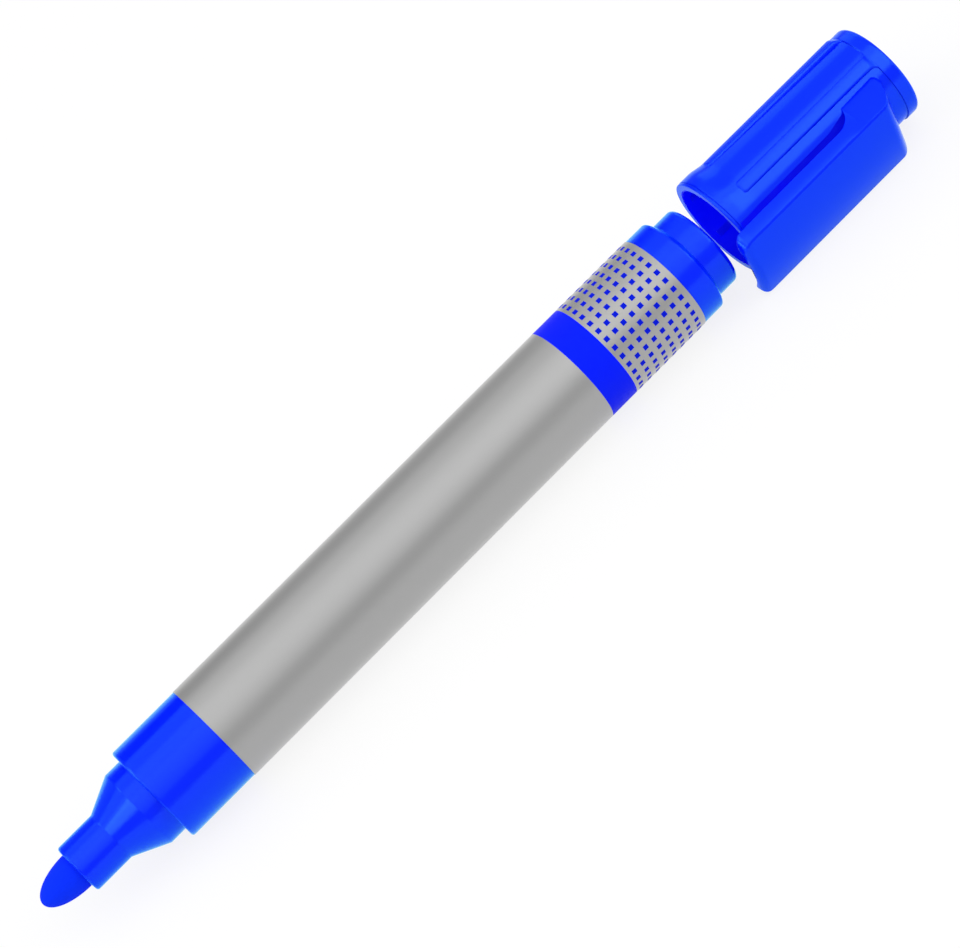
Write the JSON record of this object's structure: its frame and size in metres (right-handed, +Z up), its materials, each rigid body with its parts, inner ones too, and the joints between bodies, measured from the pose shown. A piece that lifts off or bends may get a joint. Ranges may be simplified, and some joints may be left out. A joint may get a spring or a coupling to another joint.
{
  "type": "marker pen",
  "caption": "Bullet-tip marker with a silver film around its blue barrel, a nose cone, a tail plug and a ribbed clip cap taken off behind the tail, onto which it slides.",
  "frame": {"origin": "on the barrel's axis, at the middle of the printed film", "axes": "+X along the barrel from nib to tail and cap, +Z up as the marker lies on its side, clip towards -Y"},
  "size_m": [0.1565, 0.0184, 0.016],
  "materials": {
    "blue_plastic": "glossy moulded polypropylene",
    "silver_film": "silver printed film, satin",
    "nib_fibre": "pressed fibre, matt, soaked with blue ink",
    "core_fibre": "bonded fibre, soaked with blue ink",
    "clear_film": "clear wrapping film",
    "breather_plastic": "fine natural plastic tube",
    "seal_plastic": "natural polyethylene"
  },
  "bodies": {
    "pen": {"barrel_tube": "blue_plastic", "label_film": "silver_film", "nose_cone": "blue_plastic", "nib": "nib_fibre", "ink_core": "core_fibre", "core_wrap": "clear_film", "breather_tube": "breather_plastic", "tail_plug": "blue_plastic"},
    "cap": {"cap_shell": "blue_plastic", "inner_cap": "seal_plastic"},
    "clip": {"cap_clip": "blue_plastic"}
  },
  "joints": [
    {"name": "cap_slide", "type": "slide", "parent": "pen", "child": "cap", "axis": [1, 0, 0], "range_m": [-0.0065, 0.03]},
    {"name": "clip_flex", "type": "hinge", "parent": "cap", "child": "clip", "pos_m": [0.07245, -0.00807, -0.00194], "axis": [0, -0.234, 0.9722], "range_deg": [0, 4.5], "stiffness_Nm_per_rad": 1.5}
  ]
}
